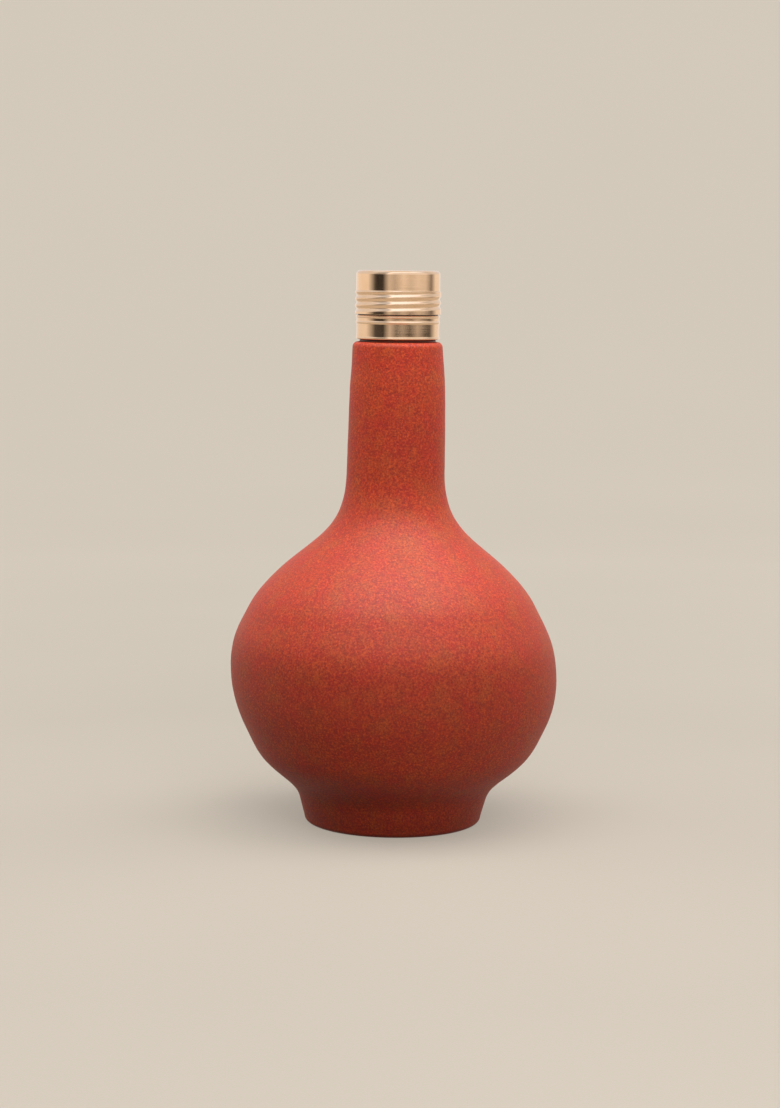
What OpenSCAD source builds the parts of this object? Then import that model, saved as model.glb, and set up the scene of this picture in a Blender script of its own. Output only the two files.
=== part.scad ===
// Terracotta water bottle: a hollow clay body with a turned foot ring and a long neck,
// a threaded neck piece cemented into its mouth, a crimped collar, and a rolled metal
// screw cap with its sealing disc. Millimetres, +Z up, origin at the centre of the base.

/* [Foot] */
// Radius of the foot where it meets the table
foot_r = 37.4; // [35:0.1:40]
// Radius at the top of the foot wall
foot_top_r = 39.4; // [37:0.1:42]
// Height of the foot wall
foot_h = 9.5; // [8:0.1:12]
// Round along the outer edge of the foot
foot_round = 2.4; // [1:0.1:3]
// Width of the foot ring, from its outer edge to the recess
foot_ring_w = 6; // [5:0.1:9]
// Round along the inner edge of the foot
recess_round = 1.2; // [0.5:0.1:1.6]
// Height of the recess under the middle of the base
base_lift = 3.8; // [2:0.1:6]

/* [Bulb] */
// Largest radius of the bulb
bulb_r = 69; // [62:0.1:76]
// Height of the widest place above the table
bulb_z = 63.8; // [58:0.1:70]
// Height of the upper half, if it went on as an ellipse
bulb_rise = 59.4; // [52:0.1:66]
// Slope angle at which the bulb turns into the foot
foot_meet_angle = 45.5; // [38:0.5:52]
// Slope angle at which the bulb turns into the shoulder
shoulder_angle = 30.8; // [24:0.2:38]
// Thickness of the clay wall
clay_wall = 5.4; // [4:0.1:7]

/* [Neck] */
// Height at which the shoulder becomes the neck
neck_z = 148.8; // [140:0.1:158]
// Radius of the neck above the shoulder
neck_low_r = 20.5; // [20:0.1:24]
// Radius of the neck below its taper
neck_high_r = 20; // [19.5:0.1:22]
// Radius of the neck at its lip
lip_r = 18.8; // [18.4:0.1:19.8]
// Height of the clay body
clay_h = 202.7; // [196:0.1:210]
// Length of the taper below the lip
taper_h = 22; // [16:0.5:28]
// Round along the outer edge of the lip
lip_round = 2.2; // [1:0.1:2.4]
// Radius of the true bore that holds the neck piece
neck_bore_r = 14.6; // [14.2:0.1:14.9]

/* [Neck piece] */
// Radius of the mouth
mouth_r = 12.4; // [11:0.1:12.8]
// Length of the spigot inside the clay
spigot_len = 22; // [18:0.5:26]
// Thickness of the cement between spigot and clay
cement_t = 0.5; // [0.3:0.1:0.8]
// Depth of the key grooves round the spigot
key_depth = 0.4; // [0.2:0.1:0.6]
// Width of each key groove
key_w = 1.6; // [1:0.1:2.4]
// Number of key grooves
key_count = 3; // [2:1:4]
// Radius of the flange that sits on the clay
flange_r = 15.9; // [15.4:0.1:16.4]
// Thickness of the flange
flange_h = 0.8; // [0.6:0.1:1.6]
// Radius of the waist between flange and locking bead
waist_r = 15.2; // [14.4:0.1:15.4]
// Height of the locking bead above the flange
bead_lift = 0.3; // [0.2:0.1:0.8]
// Height of the locking bead
bead_h = 2.2; // [1.6:0.1:2.8]
// Radius of the relief between the locking bead and the thread
relief_r = 15.9; // [15.4:0.1:16.2]
// Height of the relief
relief_h = 5.6; // [4:0.1:6]
// Chamfer round the top of the neck piece
rim_chamfer = 0.9; // [0.4:0.1:1.4]

/* [Collar] */
// Height of the collar
collar_h = 9.95; // [8.6:0.05:11]
// Radius of the collar below its rolled bead
collar_r = 17.25; // [17.1:0.05:17.5]
// How far the bottom edge turns in under the locking bead
tuck_in = 1.2; // [0.9:0.1:1.3]
// Round where the collar turns in
hem_round = 0.6; // [0.5:0.05:0.8]
// Height that the hem at this turn stands out
hem_out = 0.2; // [0:0.05:0.3]
// Height over which the hem runs out into the band
hem_w = 0.6; // [0.4:0.1:1]
// Width of the rolled bead
roll_w = 1.4; // [1:0.1:1.6]
// Height that the rolled bead stands out
roll_out = 0.35; // [0.2:0.05:0.45]
// Width of the plain strip above the bead
strip_w = 1; // [0.6:0.1:1.2]
// Width of the flared top edge
flare_w = 1.2; // [1:0.1:1.4]
// Height that the flared edge stands out
flare_out = 0.3; // [0.1:0.05:0.35]

/* [Cap] */
// Radius over the threaded part of the cap
cap_r = 17.9; // [17.8:0.05:18.4]
// Radius of the plain band above the thread
band_r = 17.45; // [17.3:0.05:17.6]
// Height of the cap
cap_h = 18; // [16.5:0.1:20]
// Height of the threaded part
threaded_h = 9.8; // [9.6:0.1:11]
// Height over which the cap steps in from the threaded part to the band
step_h = 0.4; // [0.3:0.1:0.8]
// Round along the top edge of the cap
cap_round = 1.6; // [1:0.1:2.2]
// Thickness of the rolled metal in cap and collar
metal_t = 0.4; // [0.3:0.05:0.5]
// Thickness of the sealing disc
seal_t = 2.1; // [1.5:0.1:2.6]

/* [Thread] */
// Rise of the thread in one turn
thread_pitch = 2.8; // [2.6:0.1:3]
// Depth of the thread
thread_depth = 0.65; // [0.5:0.05:0.75]
// Turns of the groove rolled into the cap
groove_turns = 2.75; // [2:0.25:2.75]
// Turns of the thread on the neck piece
thread_turns = 2; // [1.5:0.25:2]
// Width of the thread on the neck piece at its crest
thread_crest_w = 0.4; // [0.3:0.05:0.5]
// Width of the thread on the neck piece at its root
thread_root_w = 0.9; // [0.8:0.05:1]
// Height of the first groove above the edge of the cap
groove_lift = 1.3; // [1.2:0.1:1.5]

/* [Clearances] */
// Gap between the threads of cap and neck piece
thread_gap = 0.25; // [0.2:0.05:0.3]
// Gap between the flange and the collar
collar_gap = 0.3; // [0.2:0.1:0.5]
// Slit between collar and cap
slit_h = 0.45; // [0.3:0.05:0.7]
// Gap between the collar and the locking bead
bead_gap = 0.25; // [0.2:0.05:0.4]
// Gap between the sealing disc and the wall of the cap
seal_gap = 0.3; // [0.2:0.05:0.5]

/* [Hidden] */
// Smoothness of the curves: points on each stretch of the clay outline
bulb_points = 30;
blend_points = 8;
edge_points = 5;
roll_points = 8;
// Handle lengths of the two blends that join the bulb to foot and neck
foot_handles = [4.5, 8];
shoulder_handles = [32.5, 30.7];
// Handle of the curve that starts the taper
taper_handle = 4;
// Length over which the bulb's inside narrows into the true bore
bore_lead = 1.5;
// Facets in one turn of a thread
thread_facets = 48;
// Steps of a thread's run-out, and how much of its size is left at the very end
fade_steps = 7;
fade_left = 0.15;
// Angle at which the threads start, on the far side of the bottle
thread_angle = 90;
// Depth by which a rib is rooted in its wall
rib_root = 0.8;
$fn = 96;

bulb_drop = bulb_z - base_lift;
recess_r = foot_r - foot_ring_w;
taper_z = clay_h - taper_h;
spigot_r = neck_bore_r - cement_t;
spigot_z = clay_h - spigot_len;
flange_top_z = clay_h + flange_h;
collar_z = flange_top_z + collar_gap;
collar_top_z = collar_z + collar_h;
cap_z = collar_top_z + slit_h;
cap_top_z = cap_z + cap_h;
band_z = cap_z + threaded_h;
rim_z = cap_top_z - metal_t - seal_t;
thread_crest_r = cap_r - metal_t - thread_gap;
thread_core_r = thread_crest_r - thread_depth;
bead_r = collar_r - metal_t - bead_gap;
bead_z = flange_top_z + bead_lift;
relief_z = bead_z + bead_h + (bead_r - relief_r);
groove_z = cap_z + groove_lift;
rib_tip_r = thread_core_r + thread_gap;
rib_slope = (thread_root_w - thread_crest_w) / 2 / thread_depth;

function unit(v) = v / norm(v);
function reversed(path) = [for (i = [len(path) - 1:-1:0]) path[i]];

// Points on an ellipse from one angle to another
function ellipse_arc(centre, rx, rz, from, to, n) = [
    for (i = [0:n])
        let (a = from + (to - from) * i / n)
        centre + [rx * cos(a), rz * sin(a)]
];
function arc(centre, r, from, to, n) = ellipse_arc(centre, r, r, from, to, n);

// Points between the two ends of a cubic curve
function blend(a, b, c, d, n) = [
    for (i = [1:n - 1])
        let (t = i / n, s = 1 - t)
        s * s * s * a + 3 * s * s * t * b + 3 * s * t * t * c + t * t * t * d
];

// A path moved to its left by d, which is inwards on a path that climbs
function inset(path, d) = [
    for (i = [0:len(path) - 1])
        let (along = unit(path[min(i + 1, len(path) - 1)] - path[max(i - 1, 0)]))
        [max(0, path[i][0] - d * along[1]), path[i][1] + d * along[0]]
];

// Thin wall on the inner side of a path
function wall_outline(path, t) = concat(path, reversed(inset(path, t)));

// A rolled bump on a wall of radius r
function roll(r, z, w, out, n) = [
    for (i = [0:n]) [r + out * (1 - cos(360 * i / n)) / 2, z + w * i / n]
];

// A smooth run from one radius to another
function run_out(r1, r2, z, w, n) = [
    for (i = [0:n]) [r2 + (r1 - r2) * (1 + cos(180 * i / n)) / 2, z + w * i / n]
];

module revolve(outline) {
    rotate_extrude() polygon(outline);
}

// The bulb's line from the middle of the base to the start of the neck's taper
low_point = [bulb_r * cos(foot_meet_angle), bulb_z - bulb_drop * sin(foot_meet_angle)];
low_along = unit([bulb_r * sin(foot_meet_angle), bulb_drop * cos(foot_meet_angle)]);
high_point = [bulb_r * cos(shoulder_angle), bulb_z + bulb_rise * sin(shoulder_angle)];
high_along = unit([-bulb_r * sin(shoulder_angle), bulb_rise * cos(shoulder_angle)]);
neck_foot = [neck_low_r, neck_z];
neck_head = [neck_high_r, taper_z];
neck_along = unit(neck_head - neck_foot);

bowl_low = ellipse_arc([0, bulb_z], bulb_r, bulb_drop, -90, -foot_meet_angle, blend_points);
bowl_mid = ellipse_arc([0, bulb_z], bulb_r, bulb_drop, -foot_meet_angle, 0, bulb_points / 2);
bowl_high = ellipse_arc([0, bulb_z], bulb_r, bulb_rise, 0, shoulder_angle, bulb_points / 3);
shoulder = blend(
    high_point, high_point + shoulder_handles[0] * high_along,
    neck_foot - shoulder_handles[1] * neck_along, neck_foot, 2 * blend_points
);

function without_first(path) = [for (i = [1:len(path) - 1]) path[i]];
bulb_side = concat(bowl_mid, without_first(bowl_high), shoulder, [neck_foot, neck_head]);

// Taper and lip above the neck
taper_end = [lip_r, clay_h - lip_round];
taper = blend(
    neck_head, neck_head + taper_handle * neck_along,
    neck_head + taper_handle * neck_along, taper_end, blend_points
);
lip = arc([lip_r - lip_round, clay_h - lip_round], lip_round, 0, 90, edge_points);

// Foot ring: recess under the bowl, inner edge, outer edge and wall
foot_wall_along = unit([foot_top_r - foot_r, foot_h - foot_round]);
recess_angle = acos(recess_r / bulb_r);
recess = ellipse_arc([0, bulb_z], bulb_r, bulb_drop, -90, -recess_angle, blend_points);
foot_inner = arc([recess_r + recess_round, recess_round], recess_round, 180, 270, edge_points);
foot_outer = arc([foot_r - foot_round, foot_round], foot_round, -90, 0, edge_points);
foot_top = [foot_top_r, foot_h];
foot_blend = blend(
    foot_top, foot_top + foot_handles[0] * foot_wall_along,
    low_point - foot_handles[1] * low_along, low_point, blend_points
);

// Inside of the bulb and neck, up to the lead into the true bore
inside = inset(concat(bowl_low, without_first(bulb_side)), clay_wall);
bore_start_z = spigot_z - bore_lead;
inside_below_bore = [for (p = inside) if (p[1] < bore_start_z - bore_lead) p];
bore_lead_r = neck_high_r - clay_wall;

module clay_body() {
    color([0.62, 0.22, 0.14])
        revolve(concat(
            recess, foot_inner, foot_outer, [foot_top], foot_blend, bulb_side,
            taper, lip,
            [[neck_bore_r, clay_h], [neck_bore_r, bore_start_z]],
            [[max(bore_lead_r, neck_bore_r), bore_start_z - bore_lead]],
            reversed(inside_below_bore)
        ));
}

// Spigot side with its key grooves, from the bottom up
key_step = spigot_len / (key_count + 1);
spigot_side = [
    for (k = [1:key_count])
        let (z = spigot_z + k * key_step - key_w / 2)
        each [
            [spigot_r, z], [spigot_r - key_depth, z],
            [spigot_r - key_depth, z + key_w], [spigot_r, z + key_w]
        ]
];

// A rib that winds up round the axis. It is rooted at root_r, reaches tip_r, and grows lower
// and narrower towards both ends.
module winding_rib(root_r, tip_r, root_w, tip_w, z, turns) {
    steps = round(turns * thread_facets);
    inward = tip_r < root_r;
    points = [
        for (i = [0:steps])
            let (
                a = thread_angle + 360 * i / thread_facets,
                fade = min(1, fade_left + min(i, steps - i) * (1 - fade_left) / fade_steps),
                r = root_r + (tip_r - root_r) * fade,
                h = z + thread_pitch * i / thread_facets
            )
            for (p = [[root_r, -root_w], [r, -tip_w], [r, tip_w], [root_r, root_w]])
                [p[0] * cos(a), p[0] * sin(a), h + p[1] * fade / 2]
    ];
    sides = [
        for (i = [0:steps - 1], k = [0:3])
            let (a = 4 * i + k, b = 4 * i + (k + 1) % 4)
            each [[a, b, b + 4], [a, b + 4, a + 4]]
    ];
    last = 4 * steps;
    ends = [[3, 2, 1, 0], [last, last + 1, last + 2, last + 3]];
    faces = concat(sides, ends);
    polyhedron(points, inward ? [for (f = faces) reversed(f)] : faces);
}

module neck_insert() {
    rooted_w = thread_root_w + 2 * rib_slope * rib_root;
    color([0.38, 0.2, 0.13])
        union() {
            revolve(concat(
                [[mouth_r, spigot_z], [spigot_r, spigot_z]],
                spigot_side,
                [[spigot_r, clay_h], [flange_r, clay_h], [flange_r, flange_top_z]],
                [[waist_r, flange_top_z], [waist_r, bead_z]],
                [[bead_r, bead_z + (bead_r - waist_r)], [bead_r, bead_z + bead_h]],
                [[relief_r, relief_z], [relief_r, relief_z + relief_h]],
                [[thread_core_r, relief_z + relief_h + (thread_core_r - relief_r)]],
                [[thread_core_r, rim_z - rim_chamfer], [thread_core_r - rim_chamfer, rim_z]],
                [[mouth_r, rim_z]]
            ));
            winding_rib(
                thread_core_r - rib_root, thread_crest_r, rooted_w, thread_crest_w,
                groove_z + thread_pitch / 2, thread_turns
            );
        }
}

module cement_ring() {
    color([0.86, 0.84, 0.78])
        revolve(concat(
            [[neck_bore_r, clay_h], [neck_bore_r, spigot_z]],
            [[spigot_r, spigot_z]],
            spigot_side,
            [[spigot_r, clay_h]]
        ));
}

module neck_collar() {
    hem_r = collar_r + hem_out;
    hem_z = collar_z + hem_round;
    flare_z = collar_top_z - flare_w;
    roll_z = flare_z - strip_w - roll_w;
    path = concat(
        [[collar_r - tuck_in, collar_z]],
        arc([hem_r - hem_round, hem_z], hem_round, -90, 0, edge_points),
        without_first(run_out(hem_r, collar_r, hem_z, hem_w, roll_points)),
        roll(collar_r, roll_z, roll_w, roll_out, roll_points),
        roll(collar_r, flare_z, flare_w, flare_out, roll_points)
    );
    color([0.85, 0.68, 0.52])
        revolve(wall_outline(path, metal_t));
}

// Outside line of the cap, from its edge to the middle of its top
cap_side = concat(
    [[cap_r, cap_z], [cap_r, band_z - step_h], [band_r, band_z]],
    arc([band_r - cap_round, cap_top_z - cap_round], cap_round, 0, 90, edge_points),
    [[0, cap_top_z]]
);

module cap_shell() {
    // The rolled groove shows as a rib inside: both have the same centre line
    gap_w = thread_pitch - thread_crest_w - 2 * thread_gap / cos(atan(rib_slope));
    rib_crest_w = gap_w - 2 * rib_slope * (thread_crest_r - rib_tip_r);
    rib_rooted_w = rib_crest_w + 2 * rib_slope * (thread_depth + metal_t / 2);
    groove_r = rib_tip_r + metal_t;
    groove_out = metal_t;
    groove_floor_w = rib_crest_w + 2 * rib_slope * metal_t - 2 * metal_t / cos(atan(rib_slope));
    groove_top_w = groove_floor_w + 2 * rib_slope * (cap_r + groove_out - groove_r);
    color([0.85, 0.68, 0.52])
        difference() {
            union() {
                revolve(wall_outline(cap_side, metal_t));
                winding_rib(
                    cap_r - metal_t / 2, rib_tip_r, rib_rooted_w, rib_crest_w,
                    groove_z, groove_turns
                );
            }
            winding_rib(
                cap_r + groove_out, groove_r, groove_top_w, groove_floor_w,
                groove_z, groove_turns
            );
        }
}

module cap_seal() {
    seal_r = band_r - metal_t - seal_gap;
    color([0.9, 0.9, 0.88])
        revolve(concat(
            [[0, rim_z], [seal_r, rim_z]],
            [[seal_r, rim_z + seal_t - cap_round]],
            [[seal_r - cap_round, rim_z + seal_t], [0, rim_z + seal_t]]
        ));
}

clay_body();
neck_insert();
cement_ring();
neck_collar();
cap_shell();
cap_seal();
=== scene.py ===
"""Looks of a terracotta water bottle with a rolled metal screw cap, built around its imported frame.

Lengths that describe the object are in millimetres and become metres in the meshes.
"""
import math

import bpy
import numpy as np
from mathutils import Euler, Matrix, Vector

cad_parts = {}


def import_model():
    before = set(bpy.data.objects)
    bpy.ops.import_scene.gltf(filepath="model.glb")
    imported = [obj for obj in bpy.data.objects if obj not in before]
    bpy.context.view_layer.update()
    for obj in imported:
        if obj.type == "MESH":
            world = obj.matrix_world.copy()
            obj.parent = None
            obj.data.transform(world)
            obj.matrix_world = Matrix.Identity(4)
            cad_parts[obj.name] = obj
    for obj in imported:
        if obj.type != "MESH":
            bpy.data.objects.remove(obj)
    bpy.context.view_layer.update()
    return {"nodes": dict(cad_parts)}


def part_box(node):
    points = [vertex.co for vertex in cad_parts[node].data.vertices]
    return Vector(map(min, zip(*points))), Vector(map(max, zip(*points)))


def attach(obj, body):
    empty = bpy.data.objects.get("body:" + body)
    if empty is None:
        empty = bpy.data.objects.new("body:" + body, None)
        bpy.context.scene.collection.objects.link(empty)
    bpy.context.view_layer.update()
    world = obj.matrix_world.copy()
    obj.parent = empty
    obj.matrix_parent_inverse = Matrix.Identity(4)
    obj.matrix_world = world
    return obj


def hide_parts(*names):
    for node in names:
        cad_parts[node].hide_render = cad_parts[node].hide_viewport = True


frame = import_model()

MM = 0.001
SEED = 7

# Points closer than SAME_POINT are one point, and radii closer than SAME_R are on one wall
SAME_POINT, SAME_R = 1e-4, 0.01

# Clay body
FOOT_R, FOOT_TOP_R, FOOT_H = 37.4, 39.4, 9.5
FOOT_ROUND, RECESS_ROUND, FOOT_RING_W = 2.4, 1.2, 6.0
BULB_R, BULB_Z, BULB_RISE, BASE_LIFT = 69.0, 63.8, 59.4, 3.8
BULB_DROP = BULB_Z - BASE_LIFT
FOOT_MEET, SHOULDER = math.radians(45.5), math.radians(30.8)
FOOT_HANDLES, SHOULDER_HANDLES, TAPER_HANDLE = (4.5, 8.0), (32.5, 30.7), 4.0
CLAY_WALL, BORE_BELOW = 5.4, 3.0
NECK_Z, NECK_LOW_R, NECK_HIGH_R, TAPER_H = 148.8, 20.5, 20.0, 22.0
LIP_R, LIP_ROUND, NECK_BORE_R = 18.8, 2.2, 14.6

# Neck piece
MOUTH_R, SPIGOT_R, FLANGE_R, FLANGE_H, WAIST_R = 12.4, 14.1, 15.9, 0.8, 15.2
BEAD_LIFT, BEAD_H, BEAD_R, RIM_CHAMFER = 0.3, 2.2, 16.6, 0.9
RELIEF_R, RELIEF_H, NECK_CORNER_R = 15.9, 5.6, 0.25

# Collar
COLLAR_R, TUCK_IN, HEM_ROUND, HEM_OUT, HEM_W = 17.25, 1.2, 0.6, 0.2, 0.6
ROLL_W, ROLL_OUT, STRIP_W, FLARE_W, FLARE_OUT = 1.4, 0.35, 1.0, 1.2, 0.3

# Cap and thread. The groove moves the metal as far as GROOVE_REACH in from the outer face.
CAP_R, BAND_R, THREADED_H, STEP_H = 17.9, 17.45, 9.6, 0.4
CAP_ROUND, STEP_ROUND, SEAL_CORNER_R = 1.6, 0.35, 0.3
METAL_T, PITCH, THREAD_DEPTH, THREAD_GAP = 0.4, 2.8, 0.65, 0.25
THREAD_CORE_R = CAP_R - METAL_T - THREAD_GAP - THREAD_DEPTH
GROOVE_LIFT, GROOVE_TURNS, THREAD_TURNS = 1.3, 2.75, 2.0
GROOVE_FLOOR_W, GROOVE_TOP_W, GROOVE_REACH = 0.1, 2.6, 0.48
RIB_CREST_W, RIB_ROOT_W = 0.7, 2.4
THREAD_CREST_W, THREAD_ROOT_W = 0.4, 1.1
THREAD_START = math.radians(90)
FADE_TURNS = 0.15

# Fineness of the meshes: longest stretch of an outline, and points round the axis
CLAY_STEP, HOLLOW_STEP, NECK_STEP = 0.9, 1.0, 0.12
COLLAR_STEP, CAP_STEP, SEAL_STEP = 0.25, 0.09, 0.6
SEGMENTS, CAP_SEGMENTS, SEAL_SEGMENTS, STAGE_SEGMENTS, CARD_SEGMENTS = 224, 288, 160, 128, 96

# Unevenness of the hand-made clay: (height, sideways shift) and (height, change of radius)
SWAY = ((6, 0.1), (18, 0.3), (36, 0.75), (46, 0.7), (64, -0.1), (72, -0.5), (82, -0.85),
        (105, -0.6), (125, -0.25), (145, -0.3), (165, -0.05), (200, 0.2))
SWELL = ((6, -0.15), (18, 0.0), (28, 0.75), (38, -0.3), (50, -0.3), (64, -0.35), (78, -0.35),
         (88, -0.85), (97, -0.3), (106, -0.4), (117, -0.55), (127, -0.4), (140, -0.15),
         (190, -0.15), (202, -0.25))
# Its lobes, (count, depth, phase, twist for each mm), and its turning lines
LOBES = ((2, 0.1, 0.7, 0), (3, 0.06, 2.0, 1 / 40))
LINE_SPACINGS, LINE_DEPTH = (2.6, 3.7, 5.1, 8.3, 13.0), 0.0012
# It fades out towards the axis, the foot and the lip
EVEN_R, EVEN_FOOT_H, EVEN_LIP_H, EVEN_FADE = 20, 2, 1, 12

# Light and shade painted into the clay by height, (height, grey): lighter at the neck, a painted
# shade band round the belly just above its widest place, and darker towards the foot
LIGHT_SHADE_BY_HEIGHT = ((0, 0.7), (14, 0.84), (35, 0.88), (53, 0.8), (71, 0.7), (88, 0.82), (104, 0.88),
        (165, 0.88), (200, 1.0))

# Heights and the sealing disc's radius, from the frame
CLAY_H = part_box("clay_body")[1].z / MM
SPIGOT_Z, RIM_Z = (corner.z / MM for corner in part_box("neck_insert"))
COLLAR_Z, COLLAR_TOP = (corner.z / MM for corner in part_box("neck_collar"))
CAP_Z, CAP_TOP = (corner.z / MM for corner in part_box("cap_shell"))
SEAL_Z, SEAL_TOP = (corner.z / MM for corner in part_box("cap_seal"))
SEAL_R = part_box("cap_seal")[1].x / MM


# Outlines: lists of (radius, height)

def ellipse_arc(centre, rx, rz, start, end, steps):
    a = np.linspace(start, end, steps + 1)
    return np.stack([centre[0] + rx * np.cos(a), centre[1] + rz * np.sin(a)], 1)


def blend(a, b, c, d, steps):
    """A cubic curve from a to d that sets out towards b and comes in from c."""
    t = np.linspace(0, 1, steps + 1)[:, None]
    s = 1 - t
    return s ** 3 * a + 3 * s * s * t * b + 3 * s * t * t * c + t ** 3 * d


def unit(v):
    return v / np.linalg.norm(v)


def joined(*paths):
    """One path without repeated points."""
    path = np.concatenate([np.asarray(p, float).reshape(-1, 2) for p in paths])
    far = np.linalg.norm(np.diff(path, axis=0), axis=1) > SAME_POINT
    return path[np.concatenate([[True], far])]


def resampled(path, step):
    """Adds points so that no stretch is longer than step. Corners stay."""
    out = [path[:1]]
    for p, q in zip(path[:-1], path[1:]):
        n = max(1, math.ceil(np.linalg.norm(q - p) / step))
        t = np.linspace(0, 1, n + 1)[1:, None]
        out.append(p + (q - p) * t)
    return np.concatenate(out)


def inset(path, d):
    """A path moved to its left by d, which is inwards for one that runs up the outside."""
    ahead = np.concatenate([path[1:], path[-1:]])
    behind = np.concatenate([path[:1], path[:-1]])
    along = ahead - behind
    along /= np.linalg.norm(along, axis=1)[:, None]
    moved = path + d * np.stack([-along[:, 1], along[:, 0]], 1)
    moved[:, 0] = np.maximum(moved[:, 0], 0)
    return moved


def rounded(path, radius, points=5, share=0.45):
    """Rounds the corners of a path of straight stretches, with at most a share of each stretch."""
    path = joined(path)
    out = [path[0]]
    for a, b, c in zip(path[:-2], path[1:-1], path[2:]):
        cut = min(radius, np.linalg.norm(a - b) * share, np.linalg.norm(c - b) * share)
        p, q = b + unit(a - b) * cut, b + unit(c - b) * cut
        t = np.linspace(0, 1, points)[:, None]
        out.extend((1 - t) ** 2 * p + 2 * t * (1 - t) * b + t * t * q)
    out.append(path[-1])
    return np.array(out)


def bulb_arc(start, end, steps):
    """Part of the bulb's outline: one half ellipse above its widest place and another below it.

    The angle is 0 at the widest place and grows upwards.
    """
    rise = BULB_DROP if start < 0 else BULB_RISE
    return ellipse_arc((0, BULB_Z), BULB_R, rise, start, end, steps)


def bulb_point(angle):
    """A point of the bulb's outline, and the direction of the outline there."""
    rise = BULB_DROP if angle < 0 else BULB_RISE
    point = np.array([BULB_R * math.cos(angle), BULB_Z + rise * math.sin(angle)])
    return point, unit(np.array([-BULB_R * math.sin(angle), rise * math.cos(angle)]))


def clay_outline():
    """Outline of the clay, from the middle of its base round the outside to the hollow's floor."""
    low, low_along = bulb_point(-FOOT_MEET)
    high, high_along = bulb_point(SHOULDER)
    neck_foot = np.array([NECK_LOW_R, NECK_Z])
    neck_head = np.array([NECK_HIGH_R, CLAY_H - TAPER_H])
    neck_along = unit(neck_head - neck_foot)
    side = joined(
        bulb_arc(-FOOT_MEET, 0, 70),
        bulb_arc(0, SHOULDER, 40),
        blend(high, high + SHOULDER_HANDLES[0] * high_along,
              neck_foot - SHOULDER_HANDLES[1] * neck_along, neck_foot, 90),
        [neck_head],
    )
    bowl = bulb_arc(-math.pi / 2, -FOOT_MEET, 50)
    inside = inset(resampled(joined(bowl, side), HOLLOW_STEP), CLAY_WALL)
    bore_low = SPIGOT_Z - BORE_BELOW
    inside = inside[inside[:, 1] < bore_low]
    recess_r = FOOT_R - FOOT_RING_W
    wall_along = unit(np.array([FOOT_TOP_R - FOOT_R, FOOT_H - FOOT_ROUND]))
    foot_top = np.array([FOOT_TOP_R, FOOT_H])
    head = neck_head + TAPER_HANDLE * neck_along
    lip_low = np.array([LIP_R, CLAY_H - LIP_ROUND])
    return joined(
        bulb_arc(-math.pi / 2, -math.acos(recess_r / BULB_R), 40),
        ellipse_arc((recess_r + RECESS_ROUND, RECESS_ROUND), RECESS_ROUND, RECESS_ROUND,
                    math.pi, 1.5 * math.pi, 8),
        ellipse_arc((FOOT_R - FOOT_ROUND, FOOT_ROUND), FOOT_ROUND, FOOT_ROUND,
                    -math.pi / 2, 0, 10),
        blend(foot_top, foot_top + FOOT_HANDLES[0] * wall_along,
              low - FOOT_HANDLES[1] * low_along, low, 24),
        side,
        blend(neck_head, head, head, lip_low, 30),
        ellipse_arc(lip_low - (LIP_ROUND, 0), LIP_ROUND, LIP_ROUND, 0, math.pi / 2, 10),
        [(NECK_BORE_R, CLAY_H), (NECK_BORE_R, bore_low)],
        inside[::-1],
    )


def neck_outline():
    """Closed outline of the neck piece, from its mouth round the outside."""
    top = CLAY_H + FLANGE_H
    bead = top + BEAD_LIFT
    relief = bead + BEAD_H + BEAD_R - RELIEF_R
    return rounded([
        (MOUTH_R, (SPIGOT_Z + RIM_Z) / 2), (MOUTH_R, SPIGOT_Z), (SPIGOT_R, SPIGOT_Z),
        (SPIGOT_R, CLAY_H), (FLANGE_R, CLAY_H), (FLANGE_R, top), (WAIST_R, top),
        (WAIST_R, bead), (BEAD_R, bead + BEAD_R - WAIST_R), (BEAD_R, bead + BEAD_H),
        (RELIEF_R, relief), (RELIEF_R, relief + RELIEF_H),
        (THREAD_CORE_R, relief + RELIEF_H + THREAD_CORE_R - RELIEF_R),
        (THREAD_CORE_R, RIM_Z - RIM_CHAMFER), (THREAD_CORE_R - RIM_CHAMFER, RIM_Z),
        (MOUTH_R, RIM_Z), (MOUTH_R, (SPIGOT_Z + RIM_Z) / 2),
    ], NECK_CORNER_R)


def roll(r, z, w, out, steps=18):
    """A bead of height w that stands out from a wall."""
    t = np.linspace(0, 1, steps + 1)
    return np.stack([r + out * (1 - np.cos(2 * np.pi * t)) / 2, z + w * t], 1)


def thin_wall(path):
    """Closed outline of sheet metal whose outer face is the path."""
    inner = inset(path, METAL_T)[::-1]
    return np.concatenate([path, inner, path[:1]])


def collar_path():
    """Outer line of the collar, from the edge tucked in below to the flared top."""
    hem_r, hem_z = COLLAR_R + HEM_OUT, COLLAR_Z + HEM_ROUND
    flare_z = COLLAR_TOP - FLARE_W
    t = np.linspace(0, 1, 11)
    run_out = np.stack([COLLAR_R + HEM_OUT * (1 + np.cos(np.pi * t)) / 2, hem_z + HEM_W * t], 1)
    return joined(
        [(COLLAR_R - TUCK_IN, COLLAR_Z)],
        ellipse_arc((hem_r - HEM_ROUND, hem_z), HEM_ROUND, HEM_ROUND, -math.pi / 2, 0, 10),
        run_out,
        roll(COLLAR_R, flare_z - STRIP_W - ROLL_W, ROLL_W, ROLL_OUT),
        roll(COLLAR_R, flare_z, FLARE_W, FLARE_OUT),
    )


def cap_path():
    """Outer line of the cap, from its edge to the middle of its top."""
    band_z = CAP_Z + THREADED_H
    wall = rounded([
        (CAP_R, CAP_Z), (CAP_R, band_z - STEP_H), (BAND_R, band_z), (BAND_R, CAP_TOP - CAP_ROUND),
    ], STEP_ROUND)
    edge = ellipse_arc((BAND_R - CAP_ROUND, CAP_TOP - CAP_ROUND), CAP_ROUND, CAP_ROUND,
                       0, math.pi / 2, 12)
    return joined(wall, edge, [(0, CAP_TOP)])


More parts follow.
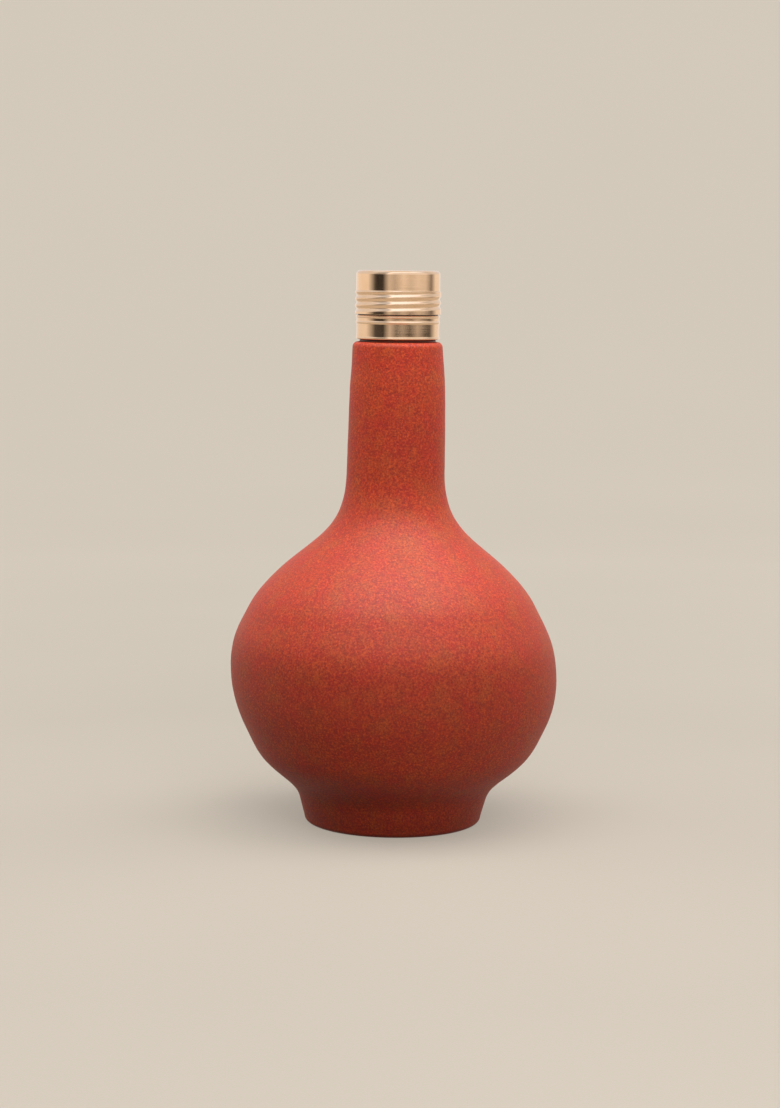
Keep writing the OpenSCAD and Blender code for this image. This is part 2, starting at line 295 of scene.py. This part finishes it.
def seal_outline():
    return rounded([
        (0, SEAL_Z), (SEAL_R, SEAL_Z), (SEAL_R, SEAL_TOP - CAP_ROUND),
        (SEAL_R - CAP_ROUND, SEAL_TOP), (0, SEAL_TOP),
    ], SEAL_CORNER_R)


# Meshes

def revolved(name, path, segments, shape=None, closed=False):
    """Turns a path round the axis. shape(r, z, a) gives the x, y and z of each point."""
    path = np.asarray(path, float)
    if closed and np.allclose(path[0], path[-1]):
        path = path[:-1]
    a = np.arange(segments) * 2 * np.pi / segments
    r, angle = np.meshgrid(path[:, 0], a, indexing="ij")
    z = np.repeat(path[:, 1:], segments, axis=1)
    if shape is None:
        x, y = r * np.cos(angle), r * np.sin(angle)
    else:
        x, y, z = shape(r, z, angle)
    rows, verts, faces = [], [], []
    for j, ring in enumerate(np.stack([x, y, z], 2) * MM):
        if path[j, 0] < SAME_POINT:
            rows.append([len(verts)] * segments)
            verts.append(ring.mean(0))
        else:
            rows.append(list(range(len(verts), len(verts) + segments)))
            verts.extend(ring)
    count = len(rows)
    for j in range(count if closed else count - 1):
        low, high = rows[j], rows[(j + 1) % count]
        for i in range(segments):
            k = (i + 1) % segments
            quad = [low[i], low[k], high[k], high[i]]
            faces.append([v for n, v in enumerate(quad) if v not in quad[:n]])
    mesh = bpy.data.meshes.new(name)
    mesh.from_pydata([tuple(v) for v in verts], [], faces)
    mesh.validate()
    mesh.polygons.foreach_set("use_smooth", [True] * len(mesh.polygons))
    piece = bpy.data.objects.new(name, mesh)
    bpy.context.scene.collection.objects.link(piece)
    return piece


def smoothstep(t):
    t = np.clip(t, 0, 1)
    return t * t * (3 - 2 * t)


def eased(z, knots):
    """A smooth line through a few (height, value) knots, level beyond the last ones."""
    at, value = np.array(knots, float).T
    slope = np.gradient(value, at)
    i = np.clip(np.searchsorted(at, z) - 1, 0, len(at) - 2)
    span = at[i + 1] - at[i]
    t = np.clip((z - at[i]) / span, 0, 1)
    s = 1 - t
    ends = value[i] * s * s * (1 + 2 * t) + value[i + 1] * t * t * (1 + 2 * s)
    return ends + span * t * s * (slope[i] * s - slope[i + 1] * t)


def winding(z, a, start_z, turns, deep_w, wide_w):
    """How deep a point lies in a winding groove or rib, from 0 to 1.

    It is deep_w wide at its deepest and wide_w where it leaves the wall. Its flanks are half
    straight and half soft, which keeps them shallow enough to reflect the room.
    """
    turned = ((a - THREAD_START) % (2 * np.pi)) / (2 * np.pi)
    nearest = np.round((z - start_z) / PITCH - turned)
    along = nearest + turned
    off = np.abs(z - start_z - along * PITCH)
    down = np.clip((off - deep_w / 2) / ((wide_w - deep_w) / 2), 0, 1)
    across = 1 - 0.5 * down - 0.5 * smoothstep(down)
    ends = smoothstep(along / FADE_TURNS) * smoothstep((turns - along) / FADE_TURNS)
    return across * ends


def clay_shape(r, z, a):
    """Hand-made unevenness: a soft sway, slight lobes and faint turning lines."""
    rng = np.random.default_rng(SEED)
    lines = np.zeros_like(z)
    for spacing in LINE_SPACINGS:
        phase = rng.uniform(0, 2 * np.pi)
        tilt = rng.uniform(0.5, 1.5)
        lines += spacing * np.sin(2 * np.pi * z / spacing + tilt * np.sin(a + phase) + phase)
    lobes = sum(depth * np.cos(count * a + phase + twist * z)
                for count, depth, phase, twist in LOBES)
    share = (smoothstep(r / EVEN_R) * smoothstep((z - EVEN_FOOT_H) / EVEN_FADE)
             * smoothstep((CLAY_H - EVEN_LIP_H - z) / EVEN_FADE))
    out = r + share * (LINE_DEPTH * lines + lobes + eased(z, SWELL))
    return out * np.cos(a) + share * eased(z, SWAY), out * np.sin(a), z


def cap_shape(r, z, a):
    """The groove rolled into the cap's wall, which stands as a narrower rib on its inner face."""
    outer = r > CAP_R - METAL_T / 2
    deep_w = np.where(outer, GROOVE_FLOOR_W, RIB_CREST_W)
    wide_w = np.where(outer, GROOVE_TOP_W, RIB_ROOT_W)
    wall = (r > CAP_R - GROOVE_REACH) & (z < CAP_Z + THREADED_H)
    depth = np.where(wall, THREAD_DEPTH, 0)
    sunk = r - depth * winding(z, a, CAP_Z + GROOVE_LIFT, GROOVE_TURNS, deep_w, wide_w)
    return sunk * np.cos(a), sunk * np.sin(a), z


def neck_shape(r, z, a):
    """The thread, which winds midway between the turns of the cap's rib."""
    wall = (np.abs(r - THREAD_CORE_R) < SAME_R) & (z > CAP_Z)
    start = CAP_Z + GROOVE_LIFT + PITCH / 2
    depth = np.where(wall, THREAD_DEPTH, 0)
    out = r + depth * winding(z, a, start, THREAD_TURNS, THREAD_CREST_W, THREAD_ROOT_W)
    return out * np.cos(a), out * np.sin(a), z


# Materials

def srgb(r, g, b):
    """Linear colour from 0 to 255 screen values."""
    return tuple(
        c / 12.92 if c <= 0.04045 else ((c + 0.055) / 1.055) ** 2.4
        for c in (r / 255, g / 255, b / 255)
    ) + (1.0,)


class Nodes:
    """Short calls for building one material.

    What goes into a node is a number, a tuple or the output of another node.
    """

    def __init__(self, name):
        self.material = bpy.data.materials.new(name)
        self.material.use_nodes = True
        self.tree = self.material.node_tree
        self.shader = self.tree.nodes["Principled BSDF"]
        self.coords = self.add("ShaderNodeTexCoord").outputs["Object"]

    def add(self, kind, **settings):
        node = self.tree.nodes.new(kind)
        for key, value in settings.items():
            setattr(node, key, value)
        return node

    def feed(self, node, **values):
        """Fills a node's named inputs. An underscore stands for a space."""
        for key, value in values.items():
            self.feed_socket(node.inputs[key.replace("_", " ")], value)

    def feed_socket(self, socket, value):
        if isinstance(value, bpy.types.NodeSocket):
            self.tree.links.new(value, socket)
        else:
            socket.default_value = value

    def set(self, **values):
        self.feed(self.shader, **values)

    def stretched(self, x, y, z):
        node = self.add("ShaderNodeMapping")
        self.feed(node, Vector=self.coords, Scale=(x, y, z))
        return node.outputs["Vector"]

    def coordinate(self, axis):
        node = self.add("ShaderNodeSeparateXYZ")
        self.feed(node, Vector=self.coords)
        return node.outputs[axis]

    def distance(self, point):
        node = self.add("ShaderNodeVectorMath", operation="DISTANCE")
        self.feed_socket(node.inputs[0], self.coords)
        self.feed_socket(node.inputs[1], point)
        return node.outputs["Value"]

    def noise(self, scale, detail=3.0, roughness=0.5, vector=None):
        node = self.add("ShaderNodeTexNoise")
        self.feed(node, Scale=scale, Detail=detail, Roughness=roughness,
                  Vector=vector or self.coords)
        return node.outputs["Fac"]

    def ramp(self, value, *stops):
        """stops are (place, colour) or (place, grey)."""
        node = self.add("ShaderNodeValToRGB")
        elements = node.color_ramp.elements
        while len(elements) < len(stops):
            elements.new(0.5)
        for element, (place, colour) in zip(elements, stops):
            element.position = place
            element.color = colour if isinstance(colour, tuple) else (colour,) * 3 + (1.0,)
        self.feed(node, Fac=value)
        return node.outputs["Color"]

    def mix(self, factor, a, b, blend_type="MIX"):
        """Mixes two colours, which are inputs 6 and 7 of the node and output 2."""
        node = self.add("ShaderNodeMix", data_type="RGBA", blend_type=blend_type)
        for number, value in ((0, factor), (6, a), (7, b)):
            self.feed_socket(node.inputs[number], value)
        return node.outputs[2]

    def calculate(self, operation, *values):
        node = self.add("ShaderNodeMath", operation=operation)
        for socket, value in zip(node.inputs, values):
            self.feed_socket(socket, value)
        return node.outputs["Value"]

    def bump(self, height, distance, strength):
        node = self.add("ShaderNodeBump")
        self.feed(node, Height=height, Distance=distance, Strength=strength)
        self.set(Normal=node.outputs["Normal"])


def terracotta():
    """Fine-grained red clay: soft patches, redder and browner clouds, pale and dark grains and a
    few dark specks, under light and shade painted by height."""
    m = Nodes("terracotta")
    broad = m.noise(26, 3, 0.55)
    clouds = m.noise(115, 3, 0.6)
    mottle = m.noise(430, 3, 0.6)
    grains = m.noise(1250, 2, 0.6)
    specks = m.noise(2400, 1, 0.5)
    body = m.ramp(broad, (0.3, srgb(181, 57, 31)), (0.7, srgb(202, 69, 36)))
    patches = m.ramp(mottle, (0.34, srgb(159, 50, 31)), (0.52, srgb(198, 63, 34)),
                     (0.68, srgb(219, 83, 35)))
    colour = m.mix(0.5, body, patches)
    colour = m.mix(m.ramp(clouds, (0.34, 0.5), (0.5, 0.0)), colour, srgb(202, 47, 39))
    colour = m.mix(m.ramp(clouds, (0.5, 0.0), (0.68, 0.5)), colour, srgb(189, 90, 38))
    colour = m.mix(m.ramp(grains, (0.36, 0.75), (0.5, 0.0)), colour, srgb(150, 44, 34))
    colour = m.mix(m.ramp(grains, (0.54, 0.0), (0.68, 0.75)), colour, srgb(228, 96, 43))
    colour = m.mix(m.ramp(specks, (0.3, 0.75), (0.42, 0.0)), colour, srgb(106, 44, 28))
    # Painted light and shade by height: lighter at the neck, darker round the belly and towards the
    # foot
    painted_light_shade = m.ramp(m.coordinate("Z"), *((height * MM, grey) for height, grey in LIGHT_SHADE_BY_HEIGHT))
    colour = m.mix(1.0, colour, painted_light_shade, "MULTIPLY")
    m.set(Base_Color=colour, Roughness=m.ramp(mottle, (0.3, 0.52), (0.7, 0.62)),
          Specular_IOR_Level=0.36)
    m.bump(m.calculate("MULTIPLY_ADD", mottle, 0.5, grains), 0.00005, 0.6)
    return m.material


def gold_metal():
    """Bright anodised metal with fine hoops round it."""
    m = Nodes("gold_metal")
    hoops = m.noise(1.0, 3, 0.6, m.stretched(30, 30, 5200))
    soft = m.noise(160, 3, 0.5)
    colour = m.ramp(soft, (0.3, srgb(238, 200, 162)), (0.7, srgb(243, 207, 172)))
    m.set(Base_Color=colour, Metallic=1.0,
          Roughness=m.ramp(hoops, (0.3, 0.06), (0.7, 0.13)))
    m.bump(hoops, 0.000006, 0.35)
    return m.material


def dark_plastic():
    m = Nodes("neck_plastic")
    fine = m.noise(900, 3, 0.6)
    colour = m.ramp(m.noise(60, 2), (0.3, srgb(100, 52, 34)), (0.7, srgb(112, 58, 38)))
    m.set(Base_Color=colour, Roughness=m.ramp(fine, (0.3, 0.38), (0.7, 0.5)))
    m.bump(fine, 0.00002, 0.4)
    return m.material


def cured_cement():
    m = Nodes("cement")
    colour = m.ramp(m.noise(300, 4), (0.3, srgb(205, 199, 184)), (0.7, srgb(226, 221, 208)))
    m.set(Base_Color=colour, Roughness=0.6)
    m.bump(m.noise(700, 4), 0.00005, 0.5)
    return m.material


def seal_foam():
    m = Nodes("seal_plastic")
    fine = m.noise(1500, 3, 0.6)
    colour = m.ramp(fine, (0.3, srgb(226, 225, 220)), (0.7, srgb(238, 237, 232)))
    m.set(Base_Color=colour, Roughness=0.55)
    m.bump(fine, 0.00003, 0.5)
    return m.material


# Pieces

def dress(piece, node, body, material):
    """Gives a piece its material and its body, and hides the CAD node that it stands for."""
    piece.data.materials.append(material)
    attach(piece, body)
    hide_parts(node)


clay = revolved("clay_bottle", resampled(clay_outline(), CLAY_STEP), SEGMENTS, clay_shape)
dress(clay, "clay_body", "bottle", terracotta())

metal = gold_metal()
neck = revolved("threaded_neck", resampled(neck_outline(), NECK_STEP), SEGMENTS, neck_shape,
                closed=True)
dress(neck, "neck_insert", "bottle", dark_plastic())

collar = revolved("crimped_collar", resampled(thin_wall(collar_path()), COLLAR_STEP), SEGMENTS,
                  closed=True)
dress(collar, "neck_collar", "bottle", metal)

outer_cap = resampled(cap_path(), CAP_STEP)
inner_cap = inset(outer_cap, METAL_T)
cap = revolved("rolled_cap", np.concatenate([inner_cap[::-1], outer_cap]), CAP_SEGMENTS, cap_shape)
dress(cap, "cap_shell", "cap", metal)

seal = revolved("sealing_disc", resampled(seal_outline(), SEAL_STEP), SEAL_SEGMENTS)
dress(seal, "cap_seal", "seal", seal_foam())

cement = frame["nodes"]["cement_ring"]
cement.data.materials.clear()
cement.data.materials.append(cured_cement())


# Stage, lamps and camera

# Glow of the stage, (metres from the bottle, grey), and the distance that its ramp spans
GLOW_REACH = 4.0
GLOW = ((0.28, 0.504), (0.64, 0.618), (1.02, 0.727), (1.484, 0.803), (2.4, 0.863), (3.2, 0.884))
WARM_LAMP, FILL_LAMP = (1.0, 0.96, 0.89), (1.0, 0.97, 0.93)
WARM, PLAIN, COOL = srgb(255, 247, 238), srgb(240, 240, 244), srgb(224, 234, 252)

# The cards' radius, and the heights at which one card gives way to the next
CARD_R, MIDDLE_Z, HIGH_Z, TOP_Z, LID_Z = 1000, 196, 330, 1400, 3000


def cyclorama():
    """A round pale floor that curves up into a wall on all sides.

    The lamps light the floor round the bottle. A glow that only sight, reflections and see-through
    rays meet grows farther off, where their light gives out, and keeps the backdrop pale. All
    other rays meet a floor with painted shade close to the bottle's left, so that it throws less
    light up to the bottle's lower left.
    """
    reach, curve, top = 2600.0, 1300.0, 2600.0
    painted_shade_centre = (-0.05, -0.01, 0)
    path = joined([(0, 0)], ellipse_arc((reach - curve, curve), curve, curve, -math.pi / 2, 0, 40),
                  [(reach, top)])
    stage = revolved("cyclorama", path, STAGE_SEGMENTS)
    m = Nodes("pale_stage")
    rays = m.add("ShaderNodeLightPath").outputs
    seen = m.calculate("MAXIMUM", rays["Is Camera Ray"], rays["Is Glossy Ray"])
    seen = m.calculate("MAXIMUM", seen, rays["Is Transmission Ray"])
    glow = m.ramp(m.calculate("DIVIDE", m.distance((0, 0, 0)), GLOW_REACH),
                  *((metres / GLOW_REACH, grey) for metres, grey in GLOW))
    pale = m.ramp(m.noise(3, 3), (0.3, srgb(123, 118, 111)), (0.7, srgb(127, 122, 115)))
    # Painted shade on the floor for all rays but sight, reflections and see-through ones: dark round
    # a spot by the bottle's left
    bounce_with_painted_shade = m.ramp(m.distance(painted_shade_centre), (0.06, srgb(40, 34, 30)), (0.14, srgb(146, 137, 127)))
    m.set(Base_Color=m.mix(seen, bounce_with_painted_shade, pale), Roughness=0.9, Specular_IOR_Level=0.1,
          Emission_Color=srgb(214, 204, 190), Emission_Strength=m.calculate("MULTIPLY", glow, seen))
    stage.data.materials.append(m.material)


def area_lamp(name, place, target, size, power, colour, glossy=True):
    """A lamp that faces its target, in metres and watts."""
    data = bpy.data.lights.new(name, "AREA")
    data.shape = "RECTANGLE"
    data.size, data.size_y = size
    data.energy = power
    data.color = colour
    lamp = bpy.data.objects.new(name, data)
    lamp.visible_camera = False
    lamp.visible_glossy = glossy
    lamp.location = place
    lamp.rotation_euler = (Vector(target) - Vector(place)).to_track_quat("-Z", "Y").to_euler()
    bpy.context.scene.collection.objects.link(lamp)
    return lamp


def leave_out(lamp, *pieces):
    """Keeps a lamp's glare off bright metal, which has the cards to reflect."""
    spared = bpy.data.collections.new(lamp.name + "_spares")
    for piece in pieces:
        spared.objects.link(piece)
    for entry in spared.collection_objects:
        entry.light_linking.link_state = "EXCLUDE"
    lamp.light_linking.receiver_collection = spared


def card(name, start, end, tint, *levels):
    """A glowing card all round the bottle that only reflections see.

    Its outline runs from start to end, which are (radius, height) pairs. The levels are
    (azimuth, glow) pairs in rising order, and azimuths run from the camera's side towards +X,
    from -180 to 180 degrees.
    """
    piece = revolved(name, [start, end], CARD_SEGMENTS)
    m = Nodes(name + "_glow")
    to_camera = m.calculate("MULTIPLY", m.coordinate("Y"), -1)
    azimuth = m.calculate("ARCTAN2", m.coordinate("X"), to_camera)
    turned = m.calculate("MULTIPLY_ADD", azimuth, 0.5 / math.pi, 0.5)
    brightest = max(glow for _, glow in levels)
    shade = m.ramp(turned, *((a / 360 + 0.5, glow / brightest) for a, glow in levels))
    m.set(Base_Color=srgb(0, 0, 0), Roughness=1.0, Specular_IOR_Level=0.0,
          Emission_Color=tint, Emission_Strength=m.calculate("MULTIPLY", shade, brightest))
    piece.data.materials.append(m.material)
    piece.visible_camera = piece.visible_diffuse = piece.visible_shadow = False
    piece.visible_transmission = False


def world():
    data = bpy.data.worlds.new("studio")
    bpy.context.scene.world = data
    data.use_nodes = True
    background = data.node_tree.nodes["Background"]
    background.inputs["Color"].default_value = srgb(236, 232, 226)
    background.inputs["Strength"].default_value = 0.25


def camera():
    """The photograph's camera, from a fit to the outline. Its picture is 780 by 1108 pixels."""
    focal_px, long_side_px, sensor = 2526.4, 1108, 36.0
    distance, height, pitch = 1055.9, 235.7, 0.1151
    axis_px, roll = 5.3, math.radians(0.63)
    data = bpy.data.cameras.new("camera")
    data.sensor_width = sensor
    data.lens = focal_px / long_side_px * sensor
    data.clip_start, data.clip_end = 0.05, 20
    eye = bpy.data.objects.new("camera", data)
    eye.location = (-axis_px / focal_px * distance * MM, -distance * MM, height * MM)
    turn = Euler((math.pi / 2 - pitch, 0, 0)).to_matrix() @ Euler((0, 0, roll)).to_matrix()
    eye.rotation_euler = turn.to_euler()
    bpy.context.scene.collection.objects.link(eye)
    bpy.context.scene.camera = eye


cyclorama()
world()
overhead = area_lamp("overhead", (0.06, -0.22, 1.2), (0, 0, 0.1), (1.6, 1.0), 20.5, WARM_LAMP)
leave_out(overhead, collar, cap)
for name, place, size, power in (
    ("front_fill", (0.25, -1.4, 1.0), (0.9, 0.7), 8.3),
    ("left_side", (-1.15, 0.35, 0.85), (0.9, 1.1), 4.8),
    ("right_side", (1.15, 0.45, 0.85), (0.9, 1.1), 5.5),
):
    area_lamp(name, place, (0, 0, 0.12), size, power, FILL_LAMP, glossy=False)

card("low_card", (CARD_R, 0), (CARD_R, MIDDLE_Z), WARM,
     (-98, 0.9), (-66, 0.1), (-40, 0.06), (-22, 0.62), (-4, 0.16), (12, 0.3),
     (33, 0.06), (56, 0.46), (80, 0.1), (98, 0.1), (112, 0.5), (128, 0.93))
card("middle_card", (CARD_R, MIDDLE_Z), (CARD_R, HIGH_Z), WARM,
     (-90, 0.96), (-67, 0.12), (-60, 0.04), (-42, 0.05), (-25, 0.7), (-10, 0.6), (14, 0.95),
     (35, 0.78), (55, 0.88), (80, 0.84), (102, 0.26), (122, 0.95))
card("high_card", (CARD_R, HIGH_Z), (CARD_R, TOP_Z), PLAIN,
     (-80, 0.95), (-60, 0.5), (-38, 0.55), (-27, 1.4), (-10, 1.05), (80, 1.1), (104, 0.8),
     (126, 0.95))
card("top_card", (CARD_R, TOP_Z), (CARD_R, LID_Z), COOL,
     (-80, 1.2), (-60, 0.9), (-38, 1.0), (-27, 1.9), (80, 1.7), (110, 1.2))
card("lid_card", (CARD_R, LID_Z), (0, LID_Z), WARM, (-180, 0.95), (180, 0.95))
camera()
bpy.context.scene.view_settings.view_transform = "Standard"
